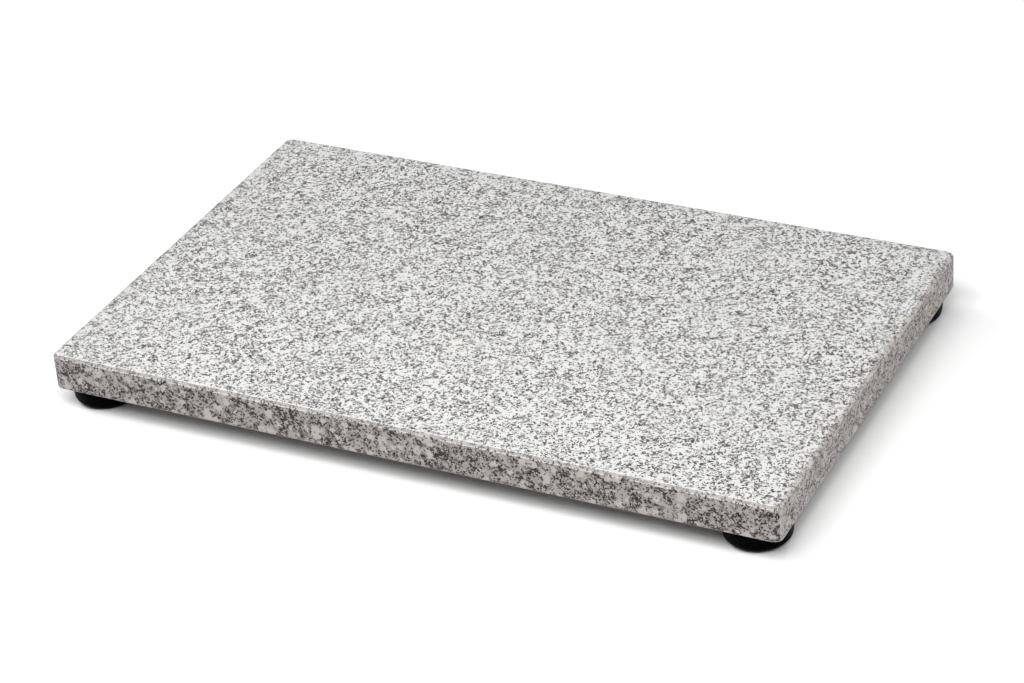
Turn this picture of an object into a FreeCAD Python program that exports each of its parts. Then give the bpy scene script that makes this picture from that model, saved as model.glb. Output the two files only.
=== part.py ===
"""Granite slab for leather tooling: a polished stone slab standing on four bonded rubber feet.

Frame: millimetres, +X along the slab's length, +Y from its front edge to its back edge, +Z up.
The origin lies on the surface the slab stands on, under the slab's centre.
"""

import FreeCAD, Part
import Sketcher
import os

# Driving dimensions, in millimetres.
DIMENSIONS = {
    "slab_length": 406.4,  # 16 in, along X
    "slab_width": 254.0,  # 10 in, along Y
    "slab_thickness": 20.0,  # 2 cm stone stock
    "corner_radius": 5.0,  # the slab's four vertical corners
    "top_arris": 1.6,  # 45 degree bevel round the working face
    "bottom_arris": 0.6,  # 45 degree bevel round the sawn underside
    "foot_inset": 19.2,  # from the slab's edges to a foot's axis
    "foot_height": 11.0,  # rubber only
    "foot_top_radius": 18.2,
    "foot_waist_radius": 17.4,  # where the tapered wall meets the rounded lower edge
    "foot_edge_radius": 5.0,  # rounded lower edge
    "foot_rim_radius": 0.5,  # rounded upper rim
    "dish_radius": 6.0,  # shallow hollow in the middle of a foot's base
    "dish_depth": 1.0,
    "groove_radius": 9.5,  # middle of the V groove round the dish
    "groove_width": 1.6,
    "groove_depth": 0.8,
    "pad_radius": 16.5,  # adhesive disc between a foot and the stone
    "pad_thickness": 1.0,
}

# One foot in each corner: its name, and the side of the slab it stands on along X and Y.
CORNERS = {
    "front_left": (-1, -1),
    "front_right": (1, -1),
    "back_left": (-1, 1),
    "back_right": (1, 1),
}

LEVEL = 1e-4  # how near two heights have to be to count as one

doc = FreeCAD.newDocument("granite_slab")


def fill_sheet():
    """Writes the driving dimensions into a spreadsheet, each cell under its own alias."""
    sheet = doc.addObject("Spreadsheet::Sheet", "sizes")
    for row, (alias, value) in enumerate(DIMENSIONS.items(), start=1):
        sheet.set(f"A{row}", alias)
        sheet.set(f"B{row}", str(value))
        sheet.setAlias(f"B{row}", alias)
    doc.recompute()
    return sheet


def new_body(label):
    body = doc.addObject("PartDesign::Body", label)
    body.Label = label
    return body


def origin_plane(body, role):
    return next(item for item in body.Origin.OriginFeatures if item.Role == role)


def sketch_on(body, role, name):
    """A sketch attached to one of the body's own origin planes."""
    sketch = body.newObject("Sketcher::SketchObject", name)
    sketch.AttachmentSupport = [(origin_plane(body, role), "")]
    sketch.MapMode = "FlatFace"
    return sketch


def drive(sketch, constraint, expression):
    """Adds a constraint to the sketch and binds its value to the sheet."""
    index = sketch.addConstraint(constraint)
    sketch.setExpression(f"Constraints[{index}]", expression)


def dress(body, kind, name, base, edges, size_property, expression):
    """Adds a fillet or a chamfer to the named edges of a feature of the body."""
    feature = body.newObject(kind, name)
    feature.Base = (base, edges)
    feature.setExpression(size_property, expression)
    doc.recompute()
    return feature


def edges_where(feature, test):
    return [f"Edge{i}" for i, edge in enumerate(feature.Shape.Edges, start=1) if test(edge)]


def upright(edge):
    """True for a straight edge that runs along Z."""
    low, high = edge.Vertexes[0].Point, edge.Vertexes[-1].Point
    return abs(high.x - low.x) < LEVEL and abs(high.y - low.y) < LEVEL


def lies_at(height):
    """A test that is true for an edge that lies wholly at one height."""

    def test(edge):
        box = edge.BoundBox
        return abs(box.ZMin - height) < LEVEL and abs(box.ZMax - height) < LEVEL

    return test


def make_slab():
    """The stone: a pad of the full thickness, its corners rounded, then its arrises bevelled."""
    body = new_body("granite_slab")
    outline = sketch_on(body, "XY_Plane", "slab_outline")
    half_x = DIMENSIONS["slab_length"] / 2
    half_y = DIMENSIONS["slab_width"] / 2
    corners = [
        FreeCAD.Vector(sx * half_x, sy * half_y, 0)
        for sx, sy in ((-1, -1), (1, -1), (1, 1), (-1, 1))
    ]
    for start, end in zip(corners, corners[1:] + corners[:1]):
        outline.addGeometry(Part.LineSegment(start, end), False)
    for line in range(4):
        outline.addConstraint(Sketcher.Constraint("Coincident", line, 2, (line + 1) % 4, 1))
    for line in (0, 2):
        outline.addConstraint(Sketcher.Constraint("Horizontal", line))
    for line in (1, 3):
        outline.addConstraint(Sketcher.Constraint("Vertical", line))
    # Opposite corners mirror each other about the sketch's own origin.
    outline.addConstraint(Sketcher.Constraint("Symmetric", 0, 1, 2, 1, -1, 1))
    drive(outline, Sketcher.Constraint("Distance", 0, 2 * half_x), "sizes.slab_length")
    drive(outline, Sketcher.Constraint("Distance", 1, 2 * half_y), "sizes.slab_width")

    block = body.newObject("PartDesign::Pad", "slab_block")
    block.Profile = outline
    block.setExpression("Length", "sizes.slab_thickness")
    doc.recompute()

    rounded = dress(
        body, "PartDesign::Fillet", "slab_corners", block,
        edges_where(block, upright), "Radius", "sizes.corner_radius",
    )
    bevelled = dress(
        body, "PartDesign::Chamfer", "slab_top_arris", rounded,
        edges_where(rounded, lies_at(DIMENSIONS["slab_thickness"])), "Size", "sizes.top_arris",
    )
    dress(
        body, "PartDesign::Chamfer", "slab_bottom_arris", bevelled,
        edges_where(bevelled, lies_at(0)), "Size", "sizes.bottom_arris",
    )
    body.setExpression("Placement.Base.z", "sizes.foot_height + sizes.pad_thickness")
    return body


def foot_profile(body):
    """Half section of a foot: a tapered wall above a rounded lower edge, drawn in the XZ plane."""
    sizes = DIMENSIONS
    sketch = sketch_on(body, "XZ_Plane", "foot_section")
    edge = sizes["foot_edge_radius"]
    waist = sizes["foot_waist_radius"]
    points = [
        FreeCAD.Vector(0, 0, 0),
        FreeCAD.Vector(waist - edge, 0, 0),
        FreeCAD.Vector(waist, edge, 0),
        FreeCAD.Vector(sizes["foot_top_radius"], sizes["foot_height"], 0),
        FreeCAD.Vector(0, sizes["foot_height"], 0),
    ]
    centre = FreeCAD.Vector(waist - edge, edge, 0)
    half_way = centre + FreeCAD.Vector(1, -1, 0).normalize() * edge
    base, lower_edge, wall, top, axis = range(5)
    sketch.addGeometry(Part.LineSegment(points[0], points[1]), False)
    sketch.addGeometry(Part.Arc(points[1], half_way, points[2]), False)
    sketch.addGeometry(Part.LineSegment(points[2], points[3]), False)
    sketch.addGeometry(Part.LineSegment(points[3], points[4]), False)
    sketch.addGeometry(Part.LineSegment(points[4], points[0]), False)
    for one, one_end, other, other_end in (
        (base, 2, lower_edge, 1),
        (lower_edge, 2, wall, 1),
        (wall, 2, top, 1),
        (top, 2, axis, 1),
        (axis, 2, base, 1),
        (base, 1, -1, 1),
    ):
        sketch.addConstraint(Sketcher.Constraint("Coincident", one, one_end, other, other_end))
    sketch.addConstraint(Sketcher.Constraint("Horizontal", base))
    sketch.addConstraint(Sketcher.Constraint("Horizontal", top))
    sketch.addConstraint(Sketcher.Constraint("Vertical", axis))
    drive(sketch, Sketcher.Constraint("Distance", axis, sizes["foot_height"]), "sizes.foot_height")
    drive(
        sketch, Sketcher.Constraint("Distance", top, sizes["foot_top_radius"]),
        "sizes.foot_top_radius",
    )
    drive(sketch, Sketcher.Constraint("Radius", lower_edge, edge), "sizes.foot_edge_radius")
    drive(
        sketch, Sketcher.Constraint("Distance", base, waist - edge),
        "sizes.foot_waist_radius - sizes.foot_edge_radius",
    )
    # The arc leaves the base level, and ends as high as its own radius.
    drive(
        sketch, Sketcher.Constraint("DistanceX", -1, 1, lower_edge, 3, waist - edge),
        "sizes.foot_waist_radius - sizes.foot_edge_radius",
    )
    drive(
        sketch, Sketcher.Constraint("DistanceY", -1, 1, lower_edge, 2, edge),
        "sizes.foot_edge_radius",
    )
    return sketch


def base_relief(body):
    """Half section of what is hollowed out of a foot's base: a shallow dish and a V groove."""
    sizes = DIMENSIONS
    sketch = sketch_on(body, "XZ_Plane", "base_relief")
    radius, depth = sizes["dish_radius"], sizes["dish_depth"]
    crown = (radius**2 - depth**2) / (2 * depth)  # how far below the base the dish's centre lies
    sphere = crown + depth
    half_way = FreeCAD.Vector(radius / 2, (sphere**2 - (radius / 2) ** 2) ** 0.5 - crown, 0)
    dish_rim = FreeCAD.Vector(radius, 0, 0)
    dish_top = FreeCAD.Vector(0, depth, 0)
    floor, curve, axis = range(3)
    sketch.addGeometry(Part.LineSegment(FreeCAD.Vector(0, 0, 0), dish_rim), False)
    sketch.addGeometry(Part.Arc(dish_rim, half_way, dish_top), False)
    sketch.addGeometry(Part.LineSegment(dish_top, FreeCAD.Vector(0, 0, 0)), False)
    for one, one_end, other, other_end in (
        (floor, 2, curve, 1),
        (curve, 2, axis, 1),
        (axis, 2, floor, 1),
        (floor, 1, -1, 1),
    ):
        sketch.addConstraint(Sketcher.Constraint("Coincident", one, one_end, other, other_end))
    sketch.addConstraint(Sketcher.Constraint("Horizontal", floor))
    sketch.addConstraint(Sketcher.Constraint("Vertical", axis))
    sketch.addConstraint(Sketcher.Constraint("PointOnObject", curve, 3, -2))
    drive(sketch, Sketcher.Constraint("Distance", floor, radius), "sizes.dish_radius")
    drive(sketch, Sketcher.Constraint("Distance", axis, depth), "sizes.dish_depth")

    middle, half_width = sizes["groove_radius"], sizes["groove_width"] / 2
    inner = FreeCAD.Vector(middle - half_width, 0, 0)
    outer = FreeCAD.Vector(middle + half_width, 0, 0)
    apex = FreeCAD.Vector(middle, sizes["groove_depth"], 0)
    mouth, outer_flank, inner_flank = range(3, 6)
    for start, end in ((inner, outer), (outer, apex), (apex, inner)):
        sketch.addGeometry(Part.LineSegment(start, end), False)
    for one, other in ((mouth, outer_flank), (outer_flank, inner_flank), (inner_flank, mouth)):
        sketch.addConstraint(Sketcher.Constraint("Coincident", one, 2, other, 1))
    sketch.addConstraint(Sketcher.Constraint("PointOnObject", mouth, 1, -1))
    sketch.addConstraint(Sketcher.Constraint("PointOnObject", mouth, 2, -1))
    sketch.addConstraint(Sketcher.Constraint("Equal", outer_flank, inner_flank))
    drive(
        sketch, Sketcher.Constraint("DistanceX", -1, 1, outer_flank, 2, middle),
        "sizes.groove_radius",
    )
    drive(sketch, Sketcher.Constraint("Distance", mouth, 2 * half_width), "sizes.groove_width")
    drive(
        sketch, Sketcher.Constraint("DistanceY", -1, 1, outer_flank, 2, apex.y),
        "sizes.groove_depth",
    )
    return sketch


def spin(body, kind, name, sketch):
    """Turns a half section a full turn about the foot's axis."""
    feature = body.newObject(kind, name)
    feature.Profile = sketch
    feature.ReferenceAxis = (sketch, ["V_Axis"])
    feature.Angle = 360
    doc.recompute()
    return feature


def place(piece, side_x, side_y, height):
    """Stands a piece on a corner's axis, at a height given as an expression."""
    piece.setExpression(
        "Placement.Base.x", f"{side_x} * (sizes.slab_length / 2 - sizes.foot_inset)"
    )
    piece.setExpression(
        "Placement.Base.y", f"{side_y} * (sizes.slab_width / 2 - sizes.foot_inset)"
    )
    piece.setExpression("Placement.Base.z", height)


def make_foot(corner, side_x, side_y):
    """One moulded rubber foot, standing on its base."""
    body = new_body(f"foot_{corner}")
    moulding = spin(body, "PartDesign::Revolution", "foot_moulding", foot_profile(body))
    rim = edges_where(moulding, lies_at(DIMENSIONS["foot_height"]))
    rounded = dress(
        body, "PartDesign::Fillet", "foot_rim", moulding, rim, "Radius", "sizes.foot_rim_radius"
    )
    relieved = spin(body, "PartDesign::Groove", "foot_relief", base_relief(body))
    if relieved.Shape.Volume >= rounded.Shape.Volume:
        raise RuntimeError(f"the base relief cut nothing out of {body.Label}")
    place(body, side_x, side_y, "0")
    return body


def make_pad(corner, side_x, side_y):
    """The adhesive disc that bonds a foot to the stone."""
    pad = doc.addObject("Part::Cylinder", f"pad_{corner}")
    pad.Label = f"pad_{corner}"
    pad.setExpression("Radius", "sizes.pad_radius")
    pad.setExpression("Height", "sizes.pad_thickness")
    place(pad, side_x, side_y, "sizes.foot_height")
    return pad


def check(pieces):
    """Stops the build if any object failed or any piece isn't one valid solid."""
    for item in doc.Objects:
        if "Invalid" in item.State or "Error" in item.State:
            raise RuntimeError(f"{item.Name} did not recompute: {item.State}")
    for piece in pieces:
        shape = piece.Shape
        if shape.isNull() or not shape.isValid() or len(shape.Solids) != 1:
            raise RuntimeError(f"{piece.Label} is not one valid solid")


def export(pieces):
    os.makedirs("parts", exist_ok=True)
    for piece in pieces:
        piece.Shape.exportStep(os.path.join("parts", f"{piece.Label}.step"))
        box = piece.Shape.optimalBoundingBox(False, False)
        print(
            f"{piece.Label}: {box.XLength:.2f} x {box.YLength:.2f} x {box.ZLength:.2f} mm,"
            f" z {box.ZMin:.2f} to {box.ZMax:.2f}, volume {piece.Shape.Volume:.1f} mm3"
        )


fill_sheet()
pieces = [make_slab()]
for corner, (side_x, side_y) in CORNERS.items():
    pieces.append(make_foot(corner, side_x, side_y))
    pieces.append(make_pad(corner, side_x, side_y))
doc.recompute()
check(pieces)
export(pieces)
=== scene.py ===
"""Looks of a granite tooling slab on rubber feet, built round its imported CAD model. Metres, +Z up."""

import math

import bpy
from mathutils import Matrix, Vector, noise


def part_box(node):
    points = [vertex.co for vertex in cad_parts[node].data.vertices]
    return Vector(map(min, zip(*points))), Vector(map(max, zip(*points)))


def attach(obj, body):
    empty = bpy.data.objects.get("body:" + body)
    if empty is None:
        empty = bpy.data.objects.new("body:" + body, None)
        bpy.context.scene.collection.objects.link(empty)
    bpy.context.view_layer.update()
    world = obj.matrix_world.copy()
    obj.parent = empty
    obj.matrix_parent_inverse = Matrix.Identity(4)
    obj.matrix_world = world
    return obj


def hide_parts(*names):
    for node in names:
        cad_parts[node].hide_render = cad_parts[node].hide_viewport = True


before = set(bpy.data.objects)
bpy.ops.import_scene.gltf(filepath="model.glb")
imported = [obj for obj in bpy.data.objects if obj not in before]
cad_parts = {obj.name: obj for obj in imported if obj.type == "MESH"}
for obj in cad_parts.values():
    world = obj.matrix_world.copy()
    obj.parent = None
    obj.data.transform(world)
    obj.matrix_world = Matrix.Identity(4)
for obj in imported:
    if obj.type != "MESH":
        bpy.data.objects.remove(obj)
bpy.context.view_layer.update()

MM = 0.001
BODY = "root"
CORNERS = ("front_left", "front_right", "back_left", "back_right")


# Mesh helpers


def new_piece(name, points, faces, materials, face_materials, replaced):
    """Makes a smooth-shaded object that rides on the slab's body and stands for a CAD node."""
    mesh = bpy.data.meshes.new(name)
    mesh.from_pydata([tuple(p) for p in points], [], faces)
    for material in materials:
        mesh.materials.append(material)
    mesh.polygons.foreach_set("material_index", face_materials)
    mesh.polygons.foreach_set("use_smooth", [True] * len(faces))
    mesh.update()
    piece = bpy.data.objects.new(name, mesh)
    bpy.context.scene.collection.objects.link(piece)
    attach(piece, BODY)
    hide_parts(replaced)


def softened(corners, radii, steps):
    """A polyline with each inner corner rounded off, over a length of its radius either way."""
    line = [Vector(corners[0])]
    for before, corner, after, radius in zip(corners, corners[1:], corners[2:], radii):
        corner = Vector(corner)
        start = corner + (Vector(before) - corner).normalized() * radius
        end = corner + (Vector(after) - corner).normalized() * radius
        for step in range(steps + 1):
            k = step / steps
            line.append(start * (1 - k) ** 2 + corner * 2 * k * (1 - k) + end * k**2)
    line.append(Vector(corners[-1]))
    return line


# Materials


class Tree:
    """A material's node tree. Its methods add nodes and return the socket that holds the result."""

    def __init__(self, name):
        self.material = bpy.data.materials.new(name)
        self.material.use_nodes = True
        self.tree = self.material.node_tree
        self.tree.nodes.clear()

    def add(self, kind, inputs=(), output=0, **settings):
        node = self.tree.nodes.new(kind)
        for key, value in settings.items():
            setattr(node, key, value)
        for key, value in dict(inputs).items():
            if isinstance(value, bpy.types.NodeSocket):
                self.tree.links.new(value, node.inputs[key])
            else:
                node.inputs[key].default_value = value
        return node.outputs[output] if node.outputs else None

    def millimetres(self):
        """Object coordinates, in millimetres."""
        place = self.add("ShaderNodeTexCoord", output="Object")
        return self.scaled(place, 1 / MM)

    def vector(self, operation, a, b):
        return self.add("ShaderNodeVectorMath", {0: a, 1: b}, operation=operation)

    def scaled(self, a, factor):
        return self.add("ShaderNodeVectorMath", {0: a, 3: factor}, operation="SCALE")

    def math(self, operation, a, b=0.0, c=0.0, clamp=False):
        inputs = {0: a, 1: b, 2: c}
        return self.add("ShaderNodeMath", inputs, operation=operation, use_clamp=clamp)

    def remap(self, value, low, high, to_low=0.0, to_high=1.0, smooth=False):
        inputs = {"Value": value, "From Min": low, "From Max": high}
        inputs |= {"To Min": to_low, "To Max": to_high}
        kind = "SMOOTHSTEP" if smooth else "LINEAR"
        return self.add("ShaderNodeMapRange", inputs, interpolation_type=kind, clamp=True)

    def noise(self, place, size, detail=2.0, rough=0.5, output="Fac"):
        """Fractal noise whose largest features are about size millimetres across."""
        inputs = {"Vector": place, "Scale": 1 / size, "Detail": detail, "Roughness": rough}
        return self.add("ShaderNodeTexNoise", inputs, output)

    def cells(self, place, size, output="Color", feature="F1"):
        """Voronoi cells about size millimetres across: a random colour each, or a distance."""
        inputs = {"Vector": place, "Scale": 1 / size}
        return self.add("ShaderNodeTexVoronoi", inputs, output, feature=feature)

    def channel(self, colour, index):
        return self.add("ShaderNodeSeparateColor", {"Color": colour}, index)

    def mix(self, factor, a, b):
        inputs = {0: factor, 6: a, 7: b}
        return self.add("ShaderNodeMix", inputs, 2, data_type="RGBA")

    def wander(self, place, size, amount):
        """The place, shifted about by up to amount millimetres, so that outlines turn ragged."""
        shift = self.noise(place, size, output="Color")
        centred = self.vector("SUBTRACT", shift, (0.5, 0.5, 0.5))
        return self.vector("ADD", place, self.scaled(centred, 2 * amount))

    def bump(self, height, distance):
        inputs = {"Height": height, "Distance": distance, "Strength": 1.0}
        return self.add("ShaderNodeBump", inputs)

    def surface(self, inputs):
        """Ends the tree in a Principled shader with these inputs, and returns the material."""
        shader = self.add("ShaderNodeBsdfPrincipled", inputs)
        self.add("ShaderNodeOutputMaterial", {"Surface": shader})
        return self.material


# Sizes of the granite's features, in millimetres.
LARGE_GRAIN = 6.4
SMALL_GRAIN = 2.0
QUARTZ_GRAIN = 1.5
FLECK = 0.82
SEAM = 3.6  # between the seams that the dark minerals follow
CLOUD = 6.0  # of the drifts in which they gather
WARM_PATCH = 9.0

QUARTZ_TONES = (0.21, 0.212, 0.222, 1), (0.43, 0.42, 0.41, 1)
MICA_TONES = (0.016, 0.014, 0.018, 1), (0.104, 0.086, 0.082, 1)
HAZE = (0.42, 0.415, 0.405, 1)  # what the grains fade to on a finish that isn't clear


def pale_cores(t, loose):
    """Where the large pale grains lie, from 0 to 1. They are of different sizes."""
    from_core = t.cells(loose, LARGE_GRAIN, "Distance")
    reach = t.remap(t.channel(t.cells(loose, LARGE_GRAIN), 0), 0, 1, 0.12, 0.48)
    return t.remap(t.math("SUBTRACT", reach, from_core), -0.12, 0.12, smooth=True)


def gathering(t, place, loose, core, patchiness):
    """How densely the dark minerals gather: mostly in seams, and hardly inside the pale grains."""
    cloud = t.remap(t.noise(place, CLOUD, detail=3, rough=0.55), 0.36, 0.62, 0.15, 1.0)
    dense = t.math("MULTIPLY", cloud, t.remap(core, 0, 1, 1.0, 0.08))
    dense = t.math("MULTIPLY_ADD", dense, patchiness, 0.5 * (1 - patchiness))
    seam = t.cells(t.wander(loose, 2.2, 0.9), SEAM, "Distance", "DISTANCE_TO_EDGE")
    return t.math("MULTIPLY", t.remap(seam, 0.02, 0.3, 1.0, 0.38, smooth=True), dense)


def feldspar(t, place, ragged, core, pale, between):
    """The pale ground. Each small grain has its own shade, and the large ones are the palest."""
    grain = t.cells(ragged, SMALL_GRAIN)
    shade = t.math("MULTIPLY_ADD", t.channel(grain, 0), 0.3, core, clamp=True)
    base = (between * 0.987, between * 0.992, between * 0.967, 1)
    colour = t.mix(shade, base, (pale * 0.985, pale, pale * 0.988, 1))
    warm = t.remap(t.noise(place, WARM_PATCH), 0.38, 0.62, 0.25, 1.75)
    beige = t.math("MULTIPLY", t.channel(grain, 1), t.remap(core, 0, 1, 0.12, 0.42))
    beige = t.math("MULTIPLY", beige, warm)
    return t.mix(beige, colour, (pale * 0.94, pale * 0.855, pale * 0.75, 1))


def scattered(t, place, size, gather, least, most, tones):
    """Grains that lie thickest where gather is high: where they are, and the colour of each."""
    grain = t.cells(place, size)
    share = t.remap(gather, 0.05, 0.85, least, most)
    here = t.math("LESS_THAN", t.channel(grain, 0), share)
    return here, t.mix(t.channel(grain, 1), *tones)


def granite(
    name, lightness, warmth, pale, between, patchiness, greys, darks, clarity, gloss, roughness,
    relief,
):
    """White feldspar, grey quartz and dark mica. The pattern is solid, so it runs on round edges.

    pale and between are the tones of the large grains and of what lies between them, greys and
    darks the largest shares of quartz and mica, patchiness how unevenly those gather, clarity
    how strongly all the grains stand out, and relief the depth of the pits in millimetres.
    """
    t = Tree(name)
    place = t.millimetres()
    ragged = t.wander(place, 1.6, 0.75)
    loose = t.wander(ragged, 3.2, 1.5)
    core = pale_cores(t, loose)
    gather = gathering(t, place, loose, core, patchiness)
    colour = feldspar(t, place, ragged, core, pale, between)

    quartz_place = t.wander(place, 1.2, 0.7)
    quartz, grey = scattered(t, quartz_place, QUARTZ_GRAIN, gather, 0.04, greys, QUARTZ_TONES)
    colour = t.mix(t.math("MULTIPLY", quartz, 0.9), colour, grey)

    fleck_place = t.wander(place, 0.95, 0.6)
    fleck, black = scattered(t, fleck_place, FLECK, gather, 0.012, darks, MICA_TONES)
    colour = t.mix(fleck, colour, black)

    mottle = t.remap(t.noise(place, 0.7, detail=3, rough=0.6), 0.3, 0.7, 0.91, 1.06)
    colour = t.mix(clarity, HAZE, colour)
    # lightness and warmth set each finish's tone; on the arris, the sides, the ends and the highlight
    # lines they also hold painted shade and painted highlights.
    tint = tuple(lightness * (1 - warmth * part) for part in (0.0, 0.6, 1.0))
    colour = t.scaled(t.vector("MULTIPLY", colour, tint), mottle)

    pits = t.noise(place, 0.35, detail=3)
    return t.surface({
        "Base Color": colour,
        "Roughness": t.remap(fleck, 0, 1, roughness, roughness + 0.15),
        "Normal": t.bump(pits, relief * MM),
        "Specular IOR Level": gloss,
    })


# The finishes of the stone, with light and shade painted into most of them: the top face; a painted
# highlight on the line between it and the arris; the arris, ground, and darker than the top by painted
# shade; the long sides, honed, darker and warmer than the top by painted shade; the ends, lighter than
# the long sides by painted light; the underside; a painted highlight on the lower arris and the upright
# corners; and the top strip of the ends, lighter than the long sides' arris by painted light.
FINISHES_AND_PAINTED_LIGHT = {
    "polished": dict(
        lightness=0.955, warmth=-0.012, pale=0.555, between=0.54, patchiness=0.5, greys=0.57,
        darks=0.59, clarity=1.0, gloss=0.5, roughness=0.16, relief=0.01,
    ),
    # A painted highlight on the rounded line between the top face and the arris.
    "highlight_line": dict(
        lightness=1.14, warmth=0.02, pale=0.56, between=0.50, patchiness=0.5, greys=0.6,
        darks=0.5, clarity=0.5, gloss=0.5, roughness=0.4, relief=0.02,
    ),
    # The arris: ground, and painted darker than the top as shade.
    "ground": dict(
        lightness=0.68, warmth=0.05, pale=0.56, between=0.46, patchiness=0.6, greys=0.6,
        darks=0.5, clarity=0.7, gloss=0.3, roughness=0.45, relief=0.03,
    ),
    # The long sides: honed, and painted darker and warmer than the top as shade.
    "honed_shaded": dict(
        lightness=0.615, warmth=0.08, pale=0.66, between=0.46, patchiness=0.9, greys=0.74,
        darks=0.70, clarity=1.0, gloss=0.2, roughness=0.35, relief=0.02,
    ),
    # The ends: painted lighter than the long sides, as the light that falls on them.
    "end": dict(
        lightness=0.73, warmth=0.09, pale=0.59, between=0.46, patchiness=0.35, greys=0.70,
        darks=0.70, clarity=1.0, gloss=0.2, roughness=0.35, relief=0.02,
    ),
    "sawn": dict(
        lightness=0.75, warmth=0.05, pale=0.6, between=0.44, patchiness=0.8, greys=0.7,
        darks=0.6, clarity=0.85, gloss=0.2, roughness=0.7, relief=0.15,
    ),
    # A painted highlight along the bottom of the sides and on the upright corners.
    "edge_highlight": dict(
        lightness=0.86, warmth=0.07, pale=0.56, between=0.46, patchiness=0.6, greys=0.6,
        darks=0.5, clarity=0.35, gloss=0.3, roughness=0.45, relief=0.03,
    ),
    # The top strip of the ends: painted lighter than the long sides' arris, with no highlight line.
    "end_arris": dict(
        lightness=0.86, warmth=0.05, pale=0.56, between=0.46, patchiness=0.6, greys=0.6,
        darks=0.55, clarity=0.8, gloss=0.3, roughness=0.45, relief=0.03,
    ),
}
FINISH_AND_PAINTED_LIGHT_NAMES = list(FINISHES_AND_PAINTED_LIGHT)


def rubber():
    """Black moulded rubber, faintly textured, with a little dust."""
    t = Tree("black_rubber")
    place = t.millimetres()
    dust = t.remap(t.noise(place, 2.5, detail=4), 0.5, 0.75, smooth=True)
    colour = t.mix(dust, (0.0004, 0.0004, 0.0004, 1), (0.0016, 0.0016, 0.0015, 1))
    texture = t.noise(place, 0.25, detail=2)
    return t.surface({
        "Base Color": colour,
        "Roughness": t.remap(dust, 0, 1, 0.36, 0.5),
        "Normal": t.bump(texture, 0.02 * MM),
        "Specular IOR Level": 0.01,
    })


def foam_tape():
    """Dark closed-cell foam of the double-sided tape."""
    t = Tree("dark_foam")
    place = t.millimetres()
    cell = t.cells(place, 0.5, "Distance")
    colour = t.mix(t.remap(cell, 0, 0.6), (0.006, 0.006, 0.006, 1), (0.014, 0.014, 0.013, 1))
    return t.surface({
        "Base Color": colour,
        "Roughness": 0.85,
        "Normal": t.bump(cell, 0.08 * MM),
        "Specular IOR Level": 0.1,
    })


# The slab

CORNER_RADIUS = 5.0 * MM
ARRIS_INSET = 1.75 * MM  # how far the top arris reaches in over the top face
ARRIS_DROP = 1.45 * MM  # and down the sides
TOP_SOFTNESS = 0.33 * MM
BOTTOM_ARRIS = 0.22 * MM
BOTTOM_SOFTNESS = 0.12 * MM
END_STRIP = 2.2 * MM  # depth of the strip along the top of the two ends, with painted light: lighter than the long sides' arris, with no highlight line
HIGHLIGHT_STRIP = 0.6 * MM  # and of the painted highlight along the bottom of all four sides
SAWN_EDGE = 0.02 * MM  # what lies no higher above the underside than this is sawn
END_FACING = 0.8  # outward x from which a spot belongs to an end rather than to a long side
END_FACE = math.cos(math.radians(3))  # from which it is on the flat of the end
CORNER_END = math.cos(math.radians(36))  # from which the upright corner carries a painted highlight, the same as the strip along the bottom
WEAR_REACH = 0.5 * MM  # how far from the line of an arris it is worn
BOTTOM_WEAR = 0.25  # how much the lower arris is worn, against the upper one
CELL = 8 * MM  # spacing of the coarse grid on the flat faces
FINE = 10  # stations to each cell along a side
ARC_STEPS = 16  # steps round each corner


class Shell:
    """Points, faces and each face's surface or painted light, gathered while a mesh is built."""

    def __init__(self):
        self.points = []
        self.faces = []
        self.kinds = []

    def point(self, x, y, z):
        self.points.append((x, y, z))
        return len(self.points) - 1

    def face(self, corners, kind):
        self.faces.append(corners)
        self.kinds.append(FINISH_AND_PAINTED_LIGHT_NAMES.index(kind))


def outline(half_x, half_y, cells_x, cells_y):
    """Stations round the slab, anticlockwise: x, y and the outward direction at each."""
    stations = []
    for side in range(4):
        cells = (cells_x, cells_y)[side % 2]
        along, out = ((half_x, half_y), (half_y, half_x))[side % 2]
        straight = along - CORNER_RADIUS
        spots = []
        for i in range(cells * FINE + 1):
            spots.append((straight * (2 * i / (cells * FINE) - 1), -out, -math.pi / 2))
        for i in range(1, ARC_STEPS):
            angle = math.pi / 2 * (i / ARC_STEPS - 1)
            x = straight + CORNER_RADIUS * math.cos(angle)
            y = -out + CORNER_RADIUS * (1 + math.sin(angle))
            spots.append((x, y, angle))
        turn = Matrix.Rotation(side * math.pi / 2, 2)
        for x, y, angle in spots:
            place = turn @ Vector((x, y))
            outward = turn @ Vector((math.cos(angle), math.sin(angle)))
            stations.append((*place, *outward))
    return stations


def arris_lines(top, bottom):
    """Where the arrises meet the faces, as (inset, height)."""
    upper = (ARRIS_INSET, top), (0, top - ARRIS_DROP)
    lower = (0, bottom + BOTTOM_ARRIS), (BOTTOM_ARRIS, bottom)
    return upper + lower


def section(top, bottom):
    """The edge of the slab from the top face round to the underside, as (inset, height) rows."""
    flat = 0.9 * MM
    corners = [(ARRIS_INSET + flat, top), *arris_lines(top, bottom), (BOTTOM_ARRIS + flat, bottom)]
    radii = (TOP_SOFTNESS, TOP_SOFTNESS, BOTTOM_SOFTNESS, BOTTOM_SOFTNESS)
    line = softened(corners, radii, 4)
    rows = []
    for start, end in zip(line, line[1:]):
        length = (end - start).length
        parts = math.ceil(length / (0.45 * MM + 0.03 * length))
        rows += [start.lerp(end, i / parts) for i in range(parts)]
    return rows + [line[-1]]


def off_arris_line(row, top, bottom):
    """How far a row of the section lies from the nearest line where an arris meets a face."""
    return min((row - Vector(line)).length for line in arris_lines(top, bottom))


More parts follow.
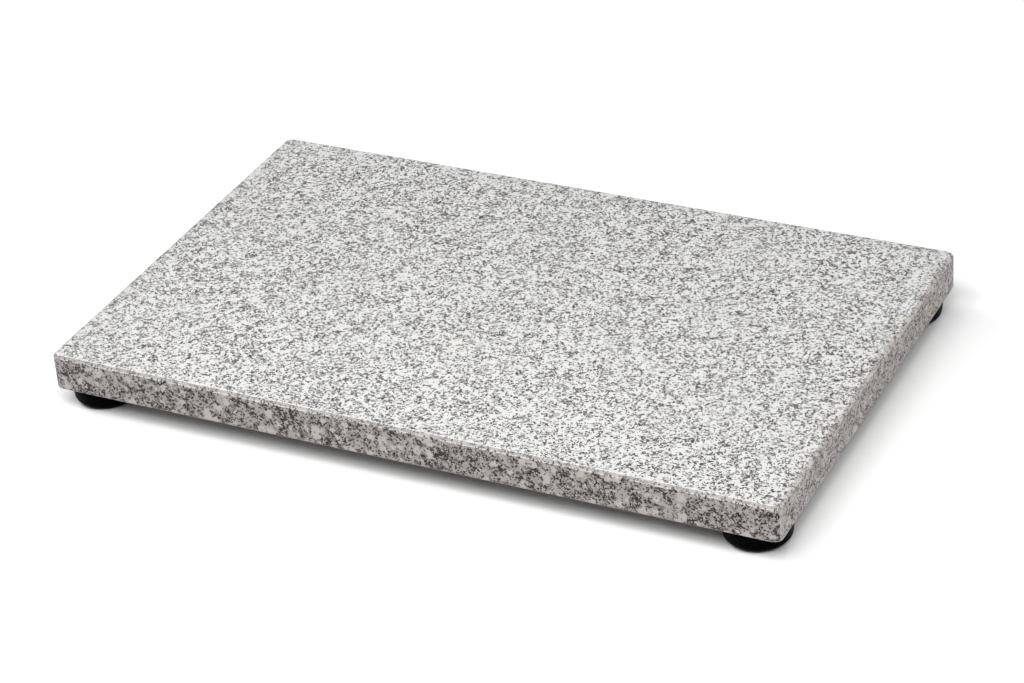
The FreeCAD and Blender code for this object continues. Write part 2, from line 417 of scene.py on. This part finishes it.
def finish_or_painted_light(row, top, bottom, outward_x):
    """The name of the surface, or of the painted light, that a spot on the edge of the slab has."""
    facing = abs(outward_x)
    at_end = facing > END_FACING
    if row.x > ARRIS_INSET + (0 if at_end else TOP_SOFTNESS):
        return "polished"
    if row.y < bottom + SAWN_EDGE:
        return "sawn"
    # The top strip of the ends: painted light.
    if row.y > top - END_STRIP and at_end:
        return "end_arris"
    # The rounded line between the top face and the arris: a painted highlight.
    if (row - Vector((ARRIS_INSET, top))).length < TOP_SOFTNESS:
        return "highlight_line"
    # The rounded line where the arris meets the side takes the top's lighter material: a painted
    # highlight.
    if (row - Vector((0, top - ARRIS_DROP))).length < TOP_SOFTNESS:
        return "polished"
    # The arris, with painted shade.
    if row.y > top - ARRIS_DROP:
        return "ground"
    # A strip along the bottom of the sides: a painted highlight.
    if row.y < bottom + HIGHLIGHT_STRIP:
        return "edge_highlight"
    # The flat of an end: painted light.
    if facing > END_FACE:
        return "end"
    # Near the end, the upright corner gets the painted highlight; elsewhere the long sides are honed,
    # with painted shade.
    return "edge_highlight" if facing > CORNER_END else "honed_shaded"


def chipping(spot):
    """How far an arris is eaten back at a spot: uneven grinding, crumbled grains and a few chips."""
    uneven = (1 + noise.noise(spot / (40 * MM))) * 0.05 * MM
    crumbled = abs(noise.noise(spot / (1.1 * MM))) * 0.12 * MM
    chip = max(0.0, noise.noise(spot / (2.8 * MM)) - 0.25) * 0.8 * MM
    nick = max(0.0, noise.noise(spot / (7 * MM) + Vector((3, 5, 7))) - 0.45) * 1.8 * MM
    return uneven + crumbled + chip + nick


def add_edge(shell, stations, rows, top, bottom):
    """Rings of points down the edge of the slab, with faces between them."""
    for row in rows:
        inset, height = row
        wear = math.exp(-((off_arris_line(row, top, bottom) / WEAR_REACH) ** 2))
        rise = 1
        if height < (top + bottom) / 2:
            wear *= BOTTOM_WEAR
            rise = -1
        for x, y, out_x, out_y in stations:
            spot = Vector((x - out_x * inset, y - out_y * inset, height))
            if wear > 0.01:
                spot -= Vector((out_x, out_y, rise)) / math.sqrt(2) * wear * chipping(spot)
            shell.point(*spot)
    count = len(stations)
    for number, (row, below) in enumerate(zip(rows, rows[1:])):
        middle = (row + below) / 2
        a, b = number * count, (number + 1) * count
        for i in range(count):
            j = (i + 1) % count
            kind = finish_or_painted_light(middle, top, bottom, (stations[i][2] + stations[j][2]) / 2)
            shell.face((a + i, b + i, b + j, a + j), kind)


def add_cap(shell, ring, half_x, half_y, height, cells_x, cells_y, kind):
    """A flat face: a coarse grid, joined to the fine ring of points round its rim."""
    grid = {}
    for j in range(cells_y + 1):
        for i in range(cells_x + 1):
            x = (half_x - CORNER_RADIUS) * (2 * i / cells_x - 1)
            y = (half_y - CORNER_RADIUS) * (2 * j / cells_y - 1)
            grid[i, j] = shell.point(x, y, height)
    made = []
    for j in range(cells_y):
        for i in range(cells_x):
            made.append((grid[i, j], grid[i + 1, j], grid[i + 1, j + 1], grid[i, j + 1]))
    rim = [grid[i, 0] for i in range(cells_x)]
    rim += [grid[cells_x, j] for j in range(cells_y)]
    rim += [grid[cells_x - i, cells_y] for i in range(cells_x)]
    rim += [grid[0, cells_y - j] for j in range(cells_y)]
    station, place = 0, 0
    for side in range(4):
        for _ in range((cells_x, cells_y)[side % 2]):
            strip = [ring[(station + k) % len(ring)] for k in range(FINE + 1)]
            made.append((*strip, rim[(place + 1) % len(rim)], rim[place]))
            station += FINE
            place += 1
        fan = [ring[(station + k) % len(ring)] for k in range(ARC_STEPS + 1)]
        made.append((*fan, rim[place % len(rim)]))
        station += ARC_STEPS
    for corners in made:
        shell.face(corners if kind == "polished" else corners[::-1], kind)


def slab_piece():
    low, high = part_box("granite_slab")
    half_x, half_y = high.x, high.y
    cells_x = round(2 * (half_x - CORNER_RADIUS) / CELL)
    cells_y = round(2 * (half_y - CORNER_RADIUS) / CELL)
    stations = outline(half_x, half_y, cells_x, cells_y)
    rows = section(high.z, low.z)
    shell = Shell()
    add_edge(shell, stations, rows, high.z, low.z)
    count = len(stations)
    first = list(range(count))
    last = [(len(rows) - 1) * count + i for i in range(count)]
    add_cap(shell, first, half_x, half_y, high.z, cells_x, cells_y, "polished")
    add_cap(shell, last, half_x, half_y, low.z, cells_x, cells_y, "sawn")
    materials = [granite(f"granite_{name}", **settings) for name, settings in FINISHES_AND_PAINTED_LIGHT.items()]
    new_piece(
        "granite_slab_stone", shell.points, shell.faces, materials, shell.kinds,
        "granite_slab",
    )


# The feet

TURN = 96  # steps round a foot
FOOT_ROUND = 5.0 * MM  # radius between the sole of a foot and its side
FOOT_FLARE = 0.75 * MM  # how much further out the side is at the top than above that round
FOOT_RIM = 0.5 * MM  # radius at the upper edge
SOLE_DISH = 0.9 * MM  # height of the hollow at the middle of the sole
SOLE_RELIEF = (  # radius and height in millimetres: the rest of the hollow, and a V groove
    (2.0, 0.95), (4.0, 0.6), (5.4, 0.2), (6.1, 0.0), (8.6, 0.0),
    (9.1, 0.35), (9.5, 0.7), (9.9, 0.35), (10.4, 0.0),
)
TAPE_NIP = 0.1 * MM  # how far the tape's faces stop short of its edge
TAPE_WAIST = 0.15 * MM  # how far its edge is drawn in, half way up


def revolved(name, profile, centre, material, replaced):
    """A closed form turned about the vertical through centre. The profile runs axis to axis."""
    inner = profile[1:-1]
    points = [(centre.x, centre.y, profile[0][1])]
    for r, z in inner:
        for step in range(TURN):
            angle = 2 * math.pi * step / TURN
            points.append((centre.x + r * math.cos(angle), centre.y + r * math.sin(angle), z))
    points.append((centre.x, centre.y, profile[-1][1]))
    first, last = 0, len(points) - 1
    top_row = 1 + (len(inner) - 1) * TURN
    faces = []
    for step in range(TURN):
        after = (step + 1) % TURN
        faces.append((first, 1 + after, 1 + step))
        for row in range(len(inner) - 1):
            a, b = 1 + row * TURN, 1 + (row + 1) * TURN
            faces.append((a + step, a + after, b + after, b + step))
        faces.append((top_row + step, top_row + after, last))
    new_piece(name, points, faces, [material], [0] * len(faces), replaced)


def quarter_circle(centre_r, centre_z, radius, first, steps):
    """Points of a profile along a quarter circle, anticlockwise from the angle first."""
    angles = [first + math.pi / 2 * step / steps for step in range(steps + 1)]
    return [(centre_r + radius * math.cos(a), centre_z + radius * math.sin(a)) for a in angles]


def foot_profile(top, height):
    """Half the section of a foot, from the middle of its sole out and up to its top."""
    waist = top - FOOT_FLARE
    profile = [(0, SOLE_DISH)]
    profile += [(r * MM, z * MM) for r, z in SOLE_RELIEF]
    profile += quarter_circle(waist - FOOT_ROUND, FOOT_ROUND, FOOT_ROUND, -math.pi / 2, 12)
    side = height - FOOT_ROUND - FOOT_RIM
    for step in range(1, 8):
        k = step / 8
        profile.append((waist + FOOT_FLARE * k, FOOT_ROUND + side * k))
    profile += quarter_circle(top - FOOT_RIM, height - FOOT_RIM, FOOT_RIM, 0, 4)
    return profile + [(top * 0.5, height), (0, height)]


def foot_piece(corner, material):
    node = f"foot_{corner}"
    low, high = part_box(node)
    centre = (low + high) / 2
    profile = foot_profile(high.x - centre.x, high.z - low.z)
    revolved(f"{node}_moulding", profile, centre, material, node)


def pad_piece(corner, material):
    node = f"pad_{corner}"
    low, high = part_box(node)
    centre = (low + high) / 2
    radius = high.x - centre.x
    half = [(0, 0), (radius * 0.6, 0), (radius - TAPE_NIP, 0), (radius, TAPE_WAIST)]
    profile = [(r, low.z + z) for r, z in half]
    profile.append((radius - TAPE_WAIST, centre.z))
    profile += [(r, high.z - z) for r, z in reversed(half)]
    revolved(f"{node}_tape", profile, centre, material, node)


slab_piece()
black = rubber()
foam = foam_tape()
for corner in CORNERS:
    foot_piece(corner, black)
    pad_piece(corner, foam)


# Floor, light and camera


def make_floor():
    t = Tree("pale_floor")
    material = t.surface({
        "Base Color": (0.77, 0.77, 0.77, 1),
        "Roughness": 0.9,
        "Specular IOR Level": 0.1,
    })
    half = 30.0  # metres, far enough that no view shows an edge
    corners = [(-half, -half, 0), (half, -half, 0), (half, half, 0), (-half, half, 0)]
    mesh = bpy.data.meshes.new("floor")
    mesh.from_pydata(corners, [], [(0, 1, 2, 3)])
    mesh.materials.append(material)
    floor = bpy.data.objects.new("floor", mesh)
    bpy.context.scene.collection.objects.link(floor)


def make_world(strength, colour):
    world = bpy.data.worlds.new("studio")
    world.use_nodes = True
    background = world.node_tree.nodes["Background"]
    background.inputs["Color"].default_value = (*colour, 1)
    background.inputs["Strength"].default_value = strength
    bpy.context.scene.world = world


def make_light(name, place, size, power, aim=(0, 0, 0)):
    """A soft light of size metres by metres, turned towards aim."""
    data = bpy.data.lights.new(name, "AREA")
    data.shape = "RECTANGLE"
    data.size, data.size_y = size
    data.energy = power
    light = bpy.data.objects.new(name, data)
    light.location = place
    light.rotation_mode = "QUATERNION"
    light.rotation_quaternion = (Vector(place) - Vector(aim)).to_track_quat("Z", "Y")
    bpy.context.scene.collection.objects.link(light)


def make_camera():
    """The viewpoint: right of the middle, well above, and leaning a little."""
    target = Vector((4.3, -5.5, 12)) * MM
    azimuth, elevation, lean = (math.radians(v) for v in (28.167, 31.498, 4.566))
    distance = 1.6112
    back = Vector((
        math.sin(azimuth) * math.cos(elevation),
        -math.cos(azimuth) * math.cos(elevation),
        math.sin(elevation),
    ))
    data = bpy.data.cameras.new("camera")
    data.sensor_width = 36
    data.lens = 107.78
    data.clip_start, data.clip_end = 0.05, 100
    camera = bpy.data.objects.new("camera", data)
    camera.rotation_mode = "QUATERNION"
    camera.location = target + back * distance
    level = (-back).to_track_quat("-Z", "Y").to_matrix()
    camera.rotation_quaternion = (level @ Matrix.Rotation(-lean, 3, "Z")).to_quaternion()
    bpy.context.scene.collection.objects.link(camera)
    bpy.context.scene.camera = camera


make_floor()
make_world(0.27, (1.0, 0.995, 0.985))
make_light("key", (0.3, -1.0, 1.35), (1.5, 0.7), 20.0)
make_light("overhead", (-0.05, -0.28, 0.72), (0.9, 0.25), 4.0)
make_light("left", (-1.3, 0.4, 0.75), (0.6, 0.8), 11.5)
make_light("right", (1.3, -0.1, 0.9), (0.8, 1.2), 5.6)
make_light("back_left", (-0.9, 1.6, 1.42), (2.0, 0.6), 2.4)
make_light("back_right", (0.9, 1.5, 1.3), (1.2, 0.9), 2.85)
make_light("backdrop", (-0.05, 0.56, 0.9), (1.9, 0.5), 6.5, aim=(-0.2, 1.35, 0.47))
make_camera()
bpy.context.scene.view_settings.view_transform = "Standard"
